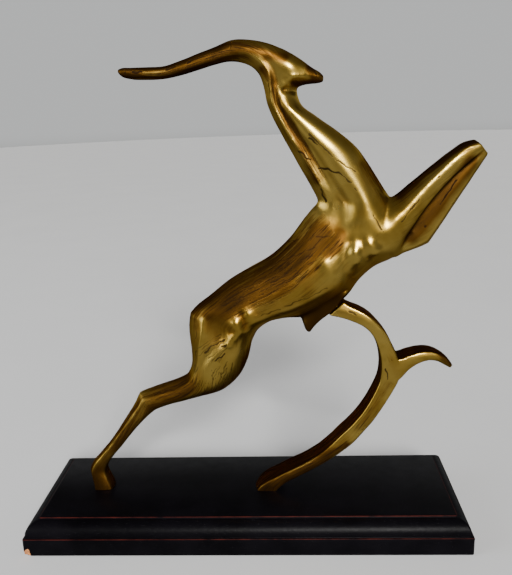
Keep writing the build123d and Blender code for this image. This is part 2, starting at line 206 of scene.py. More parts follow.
# ---- Ribs of the branch and its leaf: upper or outer edge, then lower or inner edge ----
BAR = ((0.05, 0.5, 0.95), (9.3, 9.8, 9.3))
BRANCH = [
    ((68.9, 162.2), (58.8, 152.4), (0.05, 0.5, 0.95), (6.4, 7, 6.4)),
    ((72.8, 159.6), (68, 150.7), (0.05, 0.5, 0.95), (7.6, 8.2, 7.6)),
    ((80, 156.2), (75.5, 148.1), (0.05, 0.5, 0.95), (8.8, 9.3, 8.8)),
    ((86.4, 152), (81, 145.4), *BAR),
    ((92.2, 145.8), (85.7, 141.3), *BAR),
    ((97.5, 138.9), (88.9, 136.2), *BAR),
    ((101.3, 131.1), (91.5, 129.2), *BAR),
    ((105.1, 122.6), (93, 121.2), *BAR),
    ((107.5, 114.1), (93.1, 112.6), *BAR),
    ((105.8, 106.7), (91.9, 105.2), *BAR),
    ((101.5, 97.8), (89.8, 99.8), *BAR),
    ((95.5, 87.3), (85.8, 91.5), *BAR),
    ((88.9, 77.1), (80.1, 82.2), *BAR),
    ((82.2, 68.6), (73.5, 74), *BAR),
    ((75.2, 60.4), (66.9, 67.4), *BAR),
    ((66.7, 53.3), (59.4, 59.6), *BAR),
    ((56.8, 46.4), (50.8, 51.9), *BAR),
    ((46.4, 40.3), (42, 46.1), *BAR),
    ((36.3, 34.6), (32.1, 41), *BAR),
    ((27, 29.3), (22.9, 36.1), *BAR),
    ((21.6, 24.3), (13.6, 31.1), *BAR),
    ((19.7, 21.1), (7.3, 26.5), (0.04, 0.5, 0.9), (8.9, 9.4, 8.9)),
    ((18.8, 18.5), (3.6, 20), (0.04, 0.5, 0.88), (8.6, 9.1, 8.4)),
]
BRANCH_CORNERS = [(0.95, 0, 0.95)] * len(BRANCH)
LEAF = [
    ((99, 122.1), (99, 103.4), (0.04, 0.5, 0.96), (9, 9.6, 9)),
    ((106.6, 122.7), (106.2, 107.3), (0.04, 0.5, 0.96), (9, 9.5, 9)),
    ((112.8, 125), (112.3, 113.7), (0.06, 0.5, 0.95), (8.6, 9.1, 8.4)),
    ((119.9, 126.7), (119.5, 118.3), (0.07, 0.5, 0.94), (8, 8.5, 7.7)),
    ((127.2, 126.7), (126.6, 119.8), (0.08, 0.5, 0.93), (7.2, 7.8, 6.9)),
    ((133.8, 123.9), (131.8, 118.5), (0.08, 0.5, 0.93), (6.3, 7, 6)),
    ((139, 119.9), (136.6, 115.5), (0.1, 0.5, 0.92), (5, 5.6, 4.8)),
    ((142.5, 114.9), (140.5, 113), (0.14, 0.5, 0.88), (3.2, 3.6, 3)),
]
LEAF_CORNERS = [(0.9, 0, 0.9)] * 7 + [(0.3, 0, 0.3)]


# ---- Lofting limbs ----


def curve_rows(points, sharpness, steps, closed):
    """Runs a smooth curve through the rows of points; sharpness 1 makes a row a corner."""
    points = np.asarray(points, dtype=float)
    sharpness = np.asarray(sharpness, dtype=float)
    count = len(points)
    if closed:
        before = np.roll(points, 1, axis=0)
        after = np.roll(points, -1, axis=0)
    else:
        before = np.vstack([2 * points[:1] - points[1:2], points[:-1]])
        after = np.vstack([points[1:], 2 * points[-1:] - points[-2:-1]])

    def lengths(difference):
        return np.maximum(np.linalg.norm(difference, axis=-1, keepdims=True), 1e-6)

    length_in = lengths(points - before)
    length_out = lengths(after - points)
    slope_in = (points - before) / length_in
    slope_out = (after - points) / length_out
    smooth = (slope_in * length_out + slope_out * length_in) / (length_in + length_out)
    share = sharpness.reshape(sharpness.shape + (1,) * (points.ndim - sharpness.ndim))
    leaving = smooth * (1 - share) + slope_out * share
    arriving = smooth * (1 - share) + slope_in * share
    spans = count if closed else count - 1
    rows = []
    for span in range(spans):
        nxt = (span + 1) % count
        chord = length_out[span]
        for step in range(steps):
            t = step / steps
            rows.append(
                points[span] * (2 * t**3 - 3 * t**2 + 1)
                + leaving[span] * chord * (t**3 - 2 * t**2 + t)
                + points[nxt] * (3 * t**2 - 2 * t**3)
                + arriving[nxt] * chord * (t**3 - t**2)
            )
    if not closed:
        rows.append(points[-1])
    return np.array(rows)


def limb_rings(ribs, corners, bends={}):
    """The limb's surface as an array of rings of points, in millimetres."""
    rings = []
    ring_sharpness = []
    bend_sharpness = []
    for index, ((first, second, shares, depths), line_sharpness) in enumerate(zip(ribs, corners)):
        first = np.array(first)
        second = np.array(second)
        near = [(first[0], 0.0, first[1])]
        for share, depth in zip(shares, depths):
            x, z = first + share * (second - first)
            near.append((x, -depth, z))
        near.append((second[0], 0.0, second[1]))
        far = [(x, -y, z) for x, y, z in near[-2:0:-1]]
        rings.append(near + far)
        sharp = [0.0, *line_sharpness, 0.0]
        ring_sharpness.append(sharp + sharp[-2:0:-1])
        first_bend, second_bend = bends.get(index, (0.0, 0.0))
        bend = [first_bend + share * (second_bend - first_bend) for share in (0.0, *shares, 1.0)]
        bend_sharpness.append(bend + bend[-2:0:-1])
    along = curve_rows(np.array(rings), np.array(bend_sharpness), STEPS_ALONG, closed=False)
    sharpness = np.array(ring_sharpness)[..., None]
    sharpness = curve_rows(sharpness, np.zeros(len(rings)), STEPS_ALONG, closed=False)
    sharpness = np.clip(sharpness[..., 0], 0, 1)
    return np.array(
        [curve_rows(ring, sharp, STEPS_ACROSS, closed=True) for ring, sharp in zip(along, sharpness)]
    )


def add_tube(bm, rings):
    """Adds a closed tube through the rings of points to the mesh."""
    rows = [[bm.verts.new(point) for point in ring] for ring in rings]
    around = len(rows[0])
    for row, next_row in zip(rows, rows[1:]):
        for column in range(around):
            other = (column + 1) % around
            bm.faces.new((row[column], row[other], next_row[other], next_row[column]))
    bm.faces.new(list(reversed(rows[0])))
    bm.faces.new(rows[-1])


def merge_limbs(name, all_rings, voxel):
    """Merges overlapping limbs into one closed mesh on a fine grid."""
    bm = bmesh.new()
    for rings in all_rings:
        add_tube(bm, rings * MM)
    bmesh.ops.recalc_face_normals(bm, faces=bm.faces)
    rough = bm_to_mesh(bm, name + "_rough")
    holder = place_object(name + "_rough", rough)
    remesh = holder.modifiers.new("merge", "REMESH")
    remesh.mode = "VOXEL"
    remesh.voxel_size = voxel * MM
    remesh.use_smooth_shade = True
    evaluated = holder.evaluated_get(bpy.context.evaluated_depsgraph_get())
    mesh = bpy.data.meshes.new_from_object(evaluated)
    mesh.name = name
    bpy.data.objects.remove(holder)
    bpy.data.meshes.remove(rough)
    return mesh


# ---- Sculpting ----


def mesh_points(mesh):
    points = np.empty(len(mesh.vertices) * 3)
    mesh.vertices.foreach_get("co", points)
    return points.reshape(-1, 3)


def set_mesh_points(mesh, points):
    mesh.vertices.foreach_set("co", points.ravel())
    mesh.update()


def mesh_normals(mesh):
    normals = np.empty(len(mesh.vertices) * 3)
    mesh.vertices.foreach_get("normal", normals)
    return normals.reshape(-1, 3)


class Neighbours:
    """Averages a value over each vertex's neighbours."""

    def __init__(self, mesh):
        edges = np.empty(len(mesh.edges) * 2, dtype=int)
        mesh.edges.foreach_get("vertices", edges)
        self.ends = edges.reshape(-1, 2)
        self.count = np.bincount(edges, minlength=len(mesh.vertices)).astype(float)
        self.size = len(mesh.vertices)

    def mean(self, values):
        values = values.reshape(self.size, -1)
        total = np.zeros_like(values)
        start, end = self.ends.T
        for axis in range(values.shape[1]):
            total[:, axis] += np.bincount(start, values[end, axis], minlength=self.size)
            total[:, axis] += np.bincount(end, values[start, axis], minlength=self.size)
        return total / self.count[:, None]

    def smooth(self, values, rounds, factor=0.5):
        shape = values.shape
        values = values.reshape(self.size, -1)
        for _ in range(rounds):
            values = values + factor * (self.mean(values) - values)
        return values.reshape(shape)


def distance_to_line(places, line):
    """Distance in the figure's plane from each place to a broken line, in millimetres."""
    line = np.array(line, dtype=float)
    best = np.full(len(places), 1e9)
    for start, end in zip(line, line[1:]):
        run = end - start
        share = np.clip((places - start) @ run / (run @ run), 0, 1)
        gap = np.linalg.norm(places - (start + share[:, None] * run), axis=1)
        best = np.minimum(best, gap)
    return best


# Soft dents and bumps on both sides: line (x, z), half width, height outwards.
GAZELLE_STROKES = [
    (((70.5, 204), (68.5, 196), (70, 187), (72.5, 179)), 4.2, -1.5),  # behind the shoulder
    (((74.5, 197.5), (76, 192.5)), 4.4, 1.6),  # breast
    (((84.5, 202.5), (87.5, 197.5)), 4.4, 1.5),
    (((79, 205), (82, 194)), 3, -0.7),
    (((61, 229), (66.5, 219)), 5.5, -0.8),  # foot of the neck's groove
    (((6, 157.5), (8.5, 154)), 4, 1.4),  # stifle folds
    (((-2.5, 152), (-1.5, 147)), 4, 1.6),
    (((1.8, 158), (3.6, 149)), 2.4, -1),
    (((-6, 141.5), (-8, 137.5)), 3.6, 1.7),
    (((-3.5, 146.5), (-6, 145)), 2.4, -0.8),
    (((56, 191), (59.5, 184)), 4.5, 0.9),
    (((-18, 151), (-14, 141)), 8, -1.8),  # hollow of the flank
    (((41.5, 297.4), (36.3, 298.2), (32.5, 298.4)), 2, -1.6),  # throat
    (((44, 305.6), (37, 305.2), (33.6, 303.2), (32, 300.9)), 1.6, 0.6),  # jaw
    (((21.6, 315), (25.5, 309.5), (27.6, 303.5)), 3.4, -0.8),  # behind the cheek
    (((31, 315), (36, 312.4)), 4.5, 0.6),  # brow
]
# Joins between limbs that are dressed to a soft curve: line (x, z), reach, rounds of averaging.
GAZELLE_FILLETS = [
    (((63, 222), (72, 216), (82, 209), (93.5, 205), (101, 199)), 9, 70),
    (((55, 226), (61, 224.5), (68, 221)), 5, 40),
    (((98.8, 229.3), (96, 219), (94, 210)), 2.5, 12),
    (
        ((93.6, 206.3), (103.4, 220.1), (115.5, 234.1), (127.4, 245.5), (139.1, 256.7), (149.8, 260.3)),
        2.2,
        14,
    ),
    (((20, 320.5), (30, 314.5)), 5, 25),
    (((36, 313), (44, 309)), 4, 12),
    (((42, 158), (52, 161), (64, 168)), 3, 16),
]
# Skin left brown by the casting and never polished out, and in places painted shade: line (x, z), half width,
# amount.
GAZELLE_TARNISH_AND_SHADE = [
    (((-24, 157), (-4, 166), (20, 180), (38, 194), (51, 208)), 14, 0.9),  # back
    (((66, 209), (63, 201), (57, 197)), 4.5, 0.85),  # behind the shoulder: tarnish, and painted shade that dims the window's highlight
    (((-14, 151), (-22, 136)), 9, 0.1),  # flank
    (((104, 232), (118, 245), (136, 258.5), (149, 264)), 3.4, 0.9),  # top of the foreleg
    (((112, 205), (124, 220), (135, 236), (147, 250.5)), 6, 1),  # folded cannon: tarnish, and painted shade in the recess
    (((47.4, 309.8), (51, 305.5), (56, 304.5)), 3.2, 0.9),  # muzzle
    (((20, 311), (25, 304), (27, 297), (29, 291)), 4, 0.75),  # behind the cheek
    (((31, 286), (38, 272), (46, 257), (52.5, 243)), 3.8, 0.75),  # groove of the neck
    (((38, 301.5), (55, 302)), 2, 1),  # under the jaw
    (((80, 252), (92, 236)), 4, 0.5),  # front of the neck
    (((-4, 321), (2, 321.5)), 4, 0.75),  # beside the horn's joint
    (((-68, 311), (-30, 313), (-8, 319)), 9, 1),  # horn: tarnish, and painted shade that dims the window's highlight
    (((-8, 322), (6, 324), (17, 322), (26, 318.5), (33, 316.5)), 5, 0.9),  # crown: tarnish, and painted shade that dims the window's highlight
    (((46, 142), (52, 151), (66, 163)), 8, 1),  # spur
    (((20, 149), (40, 151.5), (66, 163)), 3, 0.9),  # belly's edge
    (((-40, 104), (-60, 97), (-71, 90), (-92, 60), (-110, 36)), 11, 0.72),  # lower leg
    (((-114, 30), (-100, 26)), 12, 1),  # hoof: tarnish, and painted shade where the hoof lies in shadow
    (((4, 128), (-6, 106), (-30, 95)), 5, 0.55),  # front of the thigh
]
# Places that hands and cloths keep bright, and painted highlights on ridges and bumps: line (x, z), half
# width, amount.
GAZELLE_POLISH_AND_HIGHLIGHTS = [
    # painted highlight along the haunch's rear ridge
    (((-25, 153), (-25.7, 146.5), (-28.3, 135.9), (-29.5, 126.7), (-31.3, 118.1)), 2.4, 0.95),
    # painted highlights on the stifle folds
    (((6, 158), (9, 155)), 5, 0.9),
    (((-2.5, 153), (-1.5, 147)), 4, 0.9),
    (((-6, 142.5), (-8, 137.5)), 3.5, 0.95),
    (((-16, 150), (-20, 138)), 8, 0.45),
    (((-12, 130), (-18, 120)), 8, 0.4),
    # painted highlight on the rib
    (((57, 191.5), (61, 185)), 4, 0.9),
    (((22, 157), (45, 165), (58, 175)), 6, 0.4),
    # painted highlight on the brow
    (((37, 311.5), (42, 308.5)), 3.5, 0.7),
]
# Places that were sanded smooth, without streaks: line (x, z), half width, amount.
GAZELLE_CALM = [
    (((-14, 152), (-22, 136)), 9, 0.9),  # flank
    (((113, 203), (126, 218), (138, 236), (150, 250.5)), 6.5, 0.95),  # folded cannon
    (((46, 142), (52, 152), (64, 164)), 9, 1),  # spur
    (((-100, 46), (-106, 28)), 10, 0.8),  # hoof
    (((25, 316), (50, 306)), 8, 0.8),  # head
]

# Casting cracks, from end to end: line (x, z).
GAZELLE_CRACKS = [
    ((42.8, 275.3), (50, 268.5), (56.2, 262.5), (61.4, 257.2)),
    ((47, 269.1), (52.5, 264.4)),
    ((52.3, 250.4), (58.5, 249.9), (64.7, 247.4), (72.7, 241), (76.5, 236.3)),
    ((63, 255.4), (75.5, 248)),
    ((40.8, 261.3), (46, 256.5), (51.7, 252.7)),
    ((51.5, 244.7), (57.7, 228.2)),
    ((54.5, 198.5), (59.5, 195.5), (62, 196)),
    ((55, 196.5), (58, 194)),
    ((-4.7, 143.2), (-17.2, 136.8), (-24.6, 130.3)),
    ((-5.5, 140), (-13, 135)),
    ((-3.5, 136), (-12, 130), (-19, 124.5)),
    ((86, 221), (92.5, 210)),
    ((104, 216), (116, 231.5), (127, 243)),
    ((120, 211), (129, 225), (139, 240)),
    ((-66, 312), (-48, 311)),
    ((-40, 312.5), (-22, 317.5), (-8, 320)),
    ((46.5, 312.2), (52.5, 307.2)),
]

# how far the lines of a fan start late and end early, as shares of their length
FAN_LATE_START = 0.25
FAN_EARLY_END = 0.20


def fan(centre, first, last, near, far, count):
    """Uneven short lines that spread from a centre, between two turns in degrees."""
    lines = []
    for step in range(count):
        turn = math.radians(first + (last - first) * step / (count - 1))
        way = np.array((math.cos(turn), math.sin(turn)))
        start = near + FAN_LATE_START * (far - near) * (step % 3)
        end = far - FAN_EARLY_END * (far - near) * (step % 2)
        lines.append((centre + start * way, centre + end * way))
    return lines


# Fine scratches of the file: line (x, z).
GAZELLE_SCRATCHES = [
    *fan((10, 158), -148, -128, 22, 50, 9),
    *fan((4, 156), -128, -104, 34, 52, 11),
    *fan((-12, 165), -112, -88, 48, 66, 12),
    ((33, 203), (48, 207.5), (61, 207.5)),
    ((10, 183), (32, 194), (50, 201)),
    ((2, 174), (24, 186), (48, 196.5)),
    ((12, 175), (34, 185), (56, 196)),
    ((-12, 163), (8, 172.5), (30, 181)),
    ((24, 176.5), (40, 184.5), (55, 191)),
    ((30, 163), (44, 168.5), (57, 174.9)),
    ((14, 157), (28, 162), (40, 167.5)),
    ((-29.5, 150), (-31.5, 138)),
    ((-30, 140), (-32, 124)),
    ((-30.5, 133), (-32.8, 116)),
    ((-62, 98), (-44, 103)),
    ((-58, 96.5), (-38, 102)),
    ((-106, 47), (-90, 67)),
    ((-104, 46.5), (-84, 73)),
]
SCRATCH_AMOUNT = 0.5  # depth of a scratch, as a share of a crack's
CRACK_WIDTH = 0.50  # mm, half width
CRACK_WIDTH_CHANGE = 0.7  # share of the width by which it changes along a crack
CRACK_DEPTH = 0.06  # mm
CRACK_WANDER = 1.1  # mm, how far a crack strays from its line
CRACK_GAPS = 0.36  # roughly the share of a crack's length that is closed
# how quickly the noise changes that bends, breaks and thins a crack, per metre
BEND_SCALE = 280
GAP_SCALE = 110
WIDTH_SCALE = 180
GAZELLE_EDGE_SHADE = 0.35  # painted shade: how brown the faces are that look along the figure's plane
# painted shade on the branch's faces that look along its plane
BRANCH_EDGE_SHADE = 0.72
BRANCH_TARNISH = [
    (((8, 22), (20, 28), (40, 41), (54, 51)), 8, 0.95),
    (((54, 50), (70, 60)), 3, 0.6),
    (((99, 104), (90, 86), (80, 73)), 4.5, 0.35),
    (((99, 122), (103, 112)), 4, 0.25),
    (((118, 127), (130, 127), (141, 116)), 2.4, 0.6),
]
BRANCH_CRACKS = [
    ((72, 156), (79, 152.6)),
    ((78, 66), (82, 72)),
    ((96.5, 116), (97.5, 108)),
]


def figure_places(points):
    """Where points lie in the figure's plane, in millimetres."""
    return points[:, (0, 2)] / MM


def stroke(points, normals, strokes):
    """Pushes the surface in or out along soft lines."""
    places = figure_places(points)
    push = np.zeros(len(points))
    for line, half_width, height in strokes:
        gap = distance_to_line(places, line)
        push += height * np.exp(-((gap / half_width) ** 2))
    facing = np.abs(normals[:, 1])
    return points + normals * (push * facing * MM)[:, None]


FILLET_FAINTEST = 0.02  # share of averaging under which a point stays put
FILLET_PULL = 0.6  # how far a point moves to its neighbours' mean in a round


def fillet(points, around, fillets):
    """Averages the surface near the joins, so that limbs run into each other."""
    for line, reach, rounds in fillets:
        share = np.exp(-((distance_to_line(figure_places(points), line) / reach) ** 2))[:, None]
        share[share < FILLET_FAINTEST] = 0
        for _ in range(rounds):
            points = points + FILLET_PULL * share * (around.mean(points) - points)
    return points


def paint(points, lines):
    """Amount painted at each point, from 0 to 1: tarnish, painted shade, painted highlight or calm."""
    places = figure_places(points)
    clear = np.ones(len(points))
    for line, half_width, amount in lines:
        gap = distance_to_line(places, line)
        clear *= 1 - amount * np.exp(-((gap / half_width) ** 2))
    return 1 - clear


def crack_amount(points, cracks):
    """How much of a crack each point holds, from 0 to 1."""
    places = figure_places(points)
    reach = CRACK_WIDTH * 3 + CRACK_WANDER
    amount = np.zeros(len(points))
    for line in cracks:
        near = np.flatnonzero(distance_to_line(places, line) < reach)
        for index in near:
            point = Vector(points[index])
            bend = point * BEND_SCALE
            side = Vector((noise.noise(bend), noise.noise(bend + Vector((7, 7, 7)))))
            wander = places[index] + np.array(side) * CRACK_WANDER
            gap = distance_to_line(wander[None], line)[0]
            is_open = noise.noise(point * GAP_SCALE + Vector((3, 1, 2))) > CRACK_GAPS - 0.5
            width = CRACK_WIDTH * (1.0 + CRACK_WIDTH_CHANGE * noise.noise(point * WIDTH_SCALE))
            if is_open:
                amount[index] = max(amount[index], math.exp(-((gap / width) ** 2)))
    return amount


def finishing_waves(points, normals):
    """Low waves that hand filing and polishing leave."""
    scale = 1 / (FINISH_WAVE_LENGTH * MM)
    heights = np.array([noise.noise(Vector(point) * scale) for point in points])
    return points + normals * (heights * FINISH_WAVE * MM)[:, None]


def set_attribute(mesh, name, values):
    attribute = mesh.attributes.new(name, "FLOAT", "POINT")
    attribute.data.foreach_set("value", np.asarray(values, dtype=np.float32))


HOLLOW_REACH = 14  # rounds of averaging that find a hollow
HOLLOW_SOFTENING = 3  # rounds that then soften its edges
HOLLOW_DEPTH = 0.5  # mm, depth at which patina is full


def mark_hollows(mesh, around):
    """Stores how deep each point lies under its surroundings, from -1, proud, to 1, hollow."""
    points = mesh_points(mesh)
    normals = mesh_normals(mesh)
    wide = around.smooth(points, HOLLOW_REACH)
    depth = np.einsum("ij,ij->i", wide - points, normals) / MM
    depth = around.smooth(depth, HOLLOW_SOFTENING)
    set_attribute(mesh, "hollow", np.clip(depth / HOLLOW_DEPTH, -1, 1))


GRAIN_JUMP = 1.5  # mm, change in the grain that shows where one limb ends and the next begins
LIMB_GAP = 50.0  # mm, between the end of one limb's grain and the start of the next's
GRAIN_SOFTENING = 3  # rounds of averaging
SEAM_SOFTENING = 8  # rounds of averaging that widen the plain strip between limbs
SEAM_POWER = 3


def unit(vectors):
    return vectors / np.maximum(np.linalg.norm(vectors, axis=-1, keepdims=True), 1e-9)


def mark_grain(mesh, all_rings, streaky):
    """Stores, for each point, how far it is along and around its limb, in millimetres.

    The streaks show where streaky is 1, and not where it is 0.
    """
    places = []
    along_at = []
    across_at = []
    along_way = []
    across_way = []
    start = 0.0
    for rings in all_rings:
        middle = rings.mean(axis=1)
        run = np.concatenate([[0], np.cumsum(np.linalg.norm(np.diff(middle, axis=0), axis=1))])
        around_ring = np.linalg.norm(np.diff(rings, axis=1), axis=2).cumsum(axis=1)
        around_ring = np.concatenate([np.zeros((len(rings), 1)), around_ring], axis=1)
        half = rings.shape[1] // 2
        far = np.arange(rings.shape[1]) > half
        mirrored = 2 * around_ring[:, half : half + 1] - around_ring
        way = unit(np.roll(rings, -1, axis=1) - np.roll(rings, 1, axis=1))
        places.append(rings.reshape(-1, 3))
        along_at.append(np.repeat(start + run, rings.shape[1]))
        across_at.append((start + np.where(far, mirrored, around_ring)).ravel())
        along_way.append(unit(np.gradient(rings, axis=0)).reshape(-1, 3))
        across_way.append(np.where(far[None, :, None], -way, way).reshape(-1, 3))
        start += run[-1] + LIMB_GAP
    places = np.vstack(places)
    tree = kdtree.KDTree(len(places))
    for index, place in enumerate(places):
        tree.insert(place, index)
    tree.balance()
    points = mesh_points(mesh) / MM
    nearest = np.array([tree.find(point)[1] for point in points])
    offset = points - places[nearest]
    along = np.concatenate(along_at)[nearest] + (offset * np.vstack(along_way)[nearest]).sum(axis=1)
    across = np.concatenate(across_at)[nearest] + (offset * np.vstack(across_way)[nearest]).sum(axis=1)
    around = Neighbours(mesh)
    jump = np.abs(around.mean(along)[:, 0] - along)
    clear = around.smooth(np.exp(-((jump / GRAIN_JUMP) ** 2)), SEAM_SOFTENING) ** SEAM_POWER
    set_attribute(mesh, "grain_along", around.smooth(along, GRAIN_SOFTENING))
    set_attribute(mesh, "grain_across", around.smooth(across, GRAIN_SOFTENING))
    set_attribute(mesh, "grain_clear", clear * streaky)


def close_cut(bm):
    """Closes the opening that a cut left."""
    bmesh.ops.holes_fill(bm, edges=[edge for edge in bm.edges if edge.is_boundary])
    bmesh.ops.recalc_face_normals(bm, faces=bm.faces)


def bm_to_mesh(bm, name):
    mesh = bpy.data.meshes.new(name)
    bm.to_mesh(mesh)
    bm.free()
    return mesh


def place_object(name, mesh):
    piece = bpy.data.objects.new(name, mesh)
    bpy.context.collection.objects.link(piece)
    return piece


HORN_JOINT_PLACE = Vector((0.0, 0.0, 322.2)) * MM
HORN_JOINT_ALONG = Vector((-1.0, 0.0, 0.096)).normalized()
HORN_FLOOR = 290.0 * MM  # the joint's plane cuts nothing below this


def split_horn(mesh):
    """Splits the merged figure at the horn's joint: returns the body and the horn."""
    pieces = []
    for keep_horn in (False, True):
        bm = bmesh.new()
        bm.from_mesh(mesh)
        near = [face for face in bm.faces if face.calc_center_median().z > HORN_FLOOR]
        geometry = set(near)
        for face in near:
            geometry.update(face.edges)
            geometry.update(face.verts)
        bmesh.ops.bisect_plane(
            bm, geom=list(geometry), plane_co=HORN_JOINT_PLACE, plane_no=HORN_JOINT_ALONG
        )

        def on_horn(face):
            middle = face.calc_center_median()
            return middle.z > HORN_FLOOR and (middle - HORN_JOINT_PLACE).dot(HORN_JOINT_ALONG) > 0

        drop = [face for face in bm.faces if on_horn(face) != keep_horn]
        bmesh.ops.delete(bm, geom=drop, context="FACES")
        close_cut(bm)
        pieces.append(bm_to_mesh(bm, "horn" if keep_horn else "body"))
    return pieces


def flatten_sole(mesh):
    """Cuts the casting flat where it stands on the plinth."""
    bm = bmesh.new()
    bm.from_mesh(mesh)
    geometry = list(bm.verts) + list(bm.edges) + list(bm.faces)
    place = Vector((0, 0, PLINTH_TOP * MM))
    bmesh.ops.bisect_plane(bm, geom=geometry, plane_co=place, plane_no=Vector((0, 0, -1)), clear_outer=True)
    close_cut(bm)
    bm.to_mesh(mesh)
    bm.free()


# how the painted shade of the edges grows as a face turns away from the figure's side
EDGE_GAIN = 2.0
EDGE_START = 0.7


def sculpt(
    name,
    voxel,
    limbs,
    tarnish_and_shade,
    edge_shade,
    cracks,
    strokes=(),
    fillets=(),
    polish_and_highlights=(),
    calm=(),
    scratches=(),
):
    """Merges limbs, softens the joins, adds strokes and cracks, and marks the tarnish, painted shade and
    painted highlights that the finish needs.
    """
    all_rings = [limb_rings(*limb) for limb in limbs]
    mesh = merge_limbs(name, all_rings, voxel)
    around = Neighbours(mesh)
    points = around.smooth(mesh_points(mesh), SMOOTHING_ROUNDS)
    points = fillet(points, around, fillets)
    set_mesh_points(mesh, points)
    points = stroke(points, mesh_normals(mesh), strokes)
    set_mesh_points(mesh, points)
    points = finishing_waves(points, mesh_normals(mesh))
    set_mesh_points(mesh, points)
    mark_hollows(mesh, around)
    mark_grain(mesh, all_rings, 1 - paint(points, calm))
    # Painted shade: the faces that turn away from the figure's sides are browned; the polish lines lift
    # painted highlights.
    turned = 1 - np.abs(mesh_normals(mesh)[:, 1])
    edge = np.clip(EDGE_GAIN * turned - EDGE_START, 0, 1)
    clear = (1 - paint(points, tarnish_and_shade)) * (1 - edge_shade * edge)
    tarnish_and_painted_light = (1 - clear) * (1 - paint(points, polish_and_highlights))
    set_attribute(mesh, "tarnish_and_shade", tarnish_and_painted_light)
    crack = np.maximum(crack_amount(points, cracks), SCRATCH_AMOUNT * crack_amount(points, scratches))
    set_attribute(mesh, "crack", crack)
    set_mesh_points(mesh, points - mesh_normals(mesh) * (crack * CRACK_DEPTH * MM)[:, None])
    return mesh


def make_castings(brass):
    figure = sculpt(
        "figure",
        FIGURE_VOXEL,
        [
            (LEG_AND_BODY, LEG_AND_BODY_CORNERS, LEG_AND_BODY_BENDS),
            (NECK_AND_HORN, NECK_AND_HORN_CORNERS, NECK_AND_HORN_BENDS),
            (MUZZLE, MUZZLE_CORNERS),
            (FORELEG, FORELEG_CORNERS, FORELEG_BENDS),
            (SPUR, SPUR_CORNERS),
        ],
        GAZELLE_TARNISH_AND_SHADE,
        GAZELLE_EDGE_SHADE,
        GAZELLE_CRACKS,
        GAZELLE_STROKES,
        GAZELLE_FILLETS,
        GAZELLE_POLISH_AND_HIGHLIGHTS,
        GAZELLE_CALM,
        GAZELLE_SCRATCHES,
    )
    flatten_sole(figure)
    body_mesh, horn_mesh = split_horn(figure)
    branch_limbs = [(BRANCH, BRANCH_CORNERS), (LEAF, LEAF_CORNERS)]
    branch_mesh = sculpt(
        "branch", BRANCH_VOXEL, branch_limbs, BRANCH_TARNISH, BRANCH_EDGE_SHADE, BRANCH_CRACKS
    )
    flatten_sole(branch_mesh)
    for name, mesh, node in (
        ("gazelle", body_mesh, "gazelle_casting"),
        ("horn", horn_mesh, "horn_casting"),
        ("branch", branch_mesh, "branch_casting"),
    ):
        mesh.shade_smooth()
        mesh.materials.append(brass)
        piece = place_object(name, mesh)
        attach(piece, "root")
        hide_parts(node)


# ---- Materials ----


class Nodes:
    """A node tree, with short calls for the nodes used here."""

    def __init__(self, tree):
        self.nodes = tree.nodes
        self.links = tree.links

    def node(self, kind, inputs=None, **settings):
        node = self.nodes.new(kind)
        for setting, value in settings.items():
            setattr(node, setting, value)
        for socket, value in (inputs or {}).items():
            self.feed(node.inputs[socket], value)
        return node

    def feed(self, socket, value):
        if isinstance(value, bpy.types.NodeSocket):
            self.links.new(value, socket)
        else:
            socket.default_value = value

    def attribute(self, name):
        return self.node("ShaderNodeAttribute", attribute_name=name).outputs["Fac"]

    def place(self):
        return self.node("ShaderNodeTexCoord").outputs["Object"]

    def noise(self, vector, scale, detail=4.0, roughness=0.55):
        inputs = {"Vector": vector, "Scale": scale, "Detail": detail, "Roughness": roughness}
        return self.node("ShaderNodeTexNoise", inputs).outputs["Fac"]

    def math(self, operation, first, second=0.0):
        return self.node("ShaderNodeMath", {0: first, 1: second}, operation=operation).outputs[0]

    def plus(self, first, second):
        return self.math("ADD", first, second)

    def minus(self, first, second):
        return self.math("SUBTRACT", first, second)

    def times(self, first, second):
        return self.math("MULTIPLY", first, second)

    def ramp(self, value, low, high):
        """0 below low, 1 above high, and a smooth step between."""
        inputs = {"Value": value, "From Min": low, "From Max": high}
        node = self.node("ShaderNodeMapRange", inputs, interpolation_type="SMOOTHSTEP")
        return node.outputs["Result"]

    def mix(self, share, first, second):
        node = self.node("ShaderNodeMix", data_type="RGBA")
        self.feed(node.inputs["Factor"], share)
        self.feed(node.inputs["A"], first)
        self.feed(node.inputs["B"], second)
        return node.outputs["Result"]

    def bump(self, height, strength, distance, normal=None):
        inputs = {"Height": height, "Strength": strength, "Distance": distance}
        if normal is not None:
            inputs["Normal"] = normal
        return self.node("ShaderNodeBump", inputs).outputs["Normal"]


class Shader(Nodes):
    """The node tree of a new material."""

    def __init__(self, name):
        self.material = bpy.data.materials.new(name)
        self.material.use_nodes = True
        super().__init__(self.material.node_tree)
        self.surface = self.nodes["Principled BSDF"]

    def set(self, socket, value):
        self.feed(self.surface.inputs[socket], value)


def colour(red, green, blue):
    return (red, green, blue, 1.0)


BRASS_BRIGHT = colour(0.56, 0.385, 0.082)
BRASS_DULL = colour(0.37, 0.225, 0.032)
BRASS_ORANGE = colour(0.35, 0.145, 0.015)
BRASS_BROWN = colour(0.108, 0.048, 0.007)
BRASS_DEEP_BROWN = colour(0.036, 0.017, 0.004)
BRASS_BLACKENED = colour(0.020, 0.010, 0.005)
BRASS_EDGE = colour(0.85, 0.72, 0.50)
BROWN_EDGE = colour(0.22, 0.13, 0.07)
# shares by which each cause browns the brass; the painted share also carries painted shade
HOLLOW_BROWN = 0.40
TARNISH_AND_SHADE_BROWN = 0.75
STREAK_BROWN = 1.1
CLOUD_BROWN = 0.5
# roughness of bright brass, and what browning, cracks and clouds add
BRASS_ROUGHNESS = 0.24
BROWN_ROUGHNESS = 0.17
CRACK_ROUGHNESS = 0.25
CLOUD_ROUGHNESS = 0.08


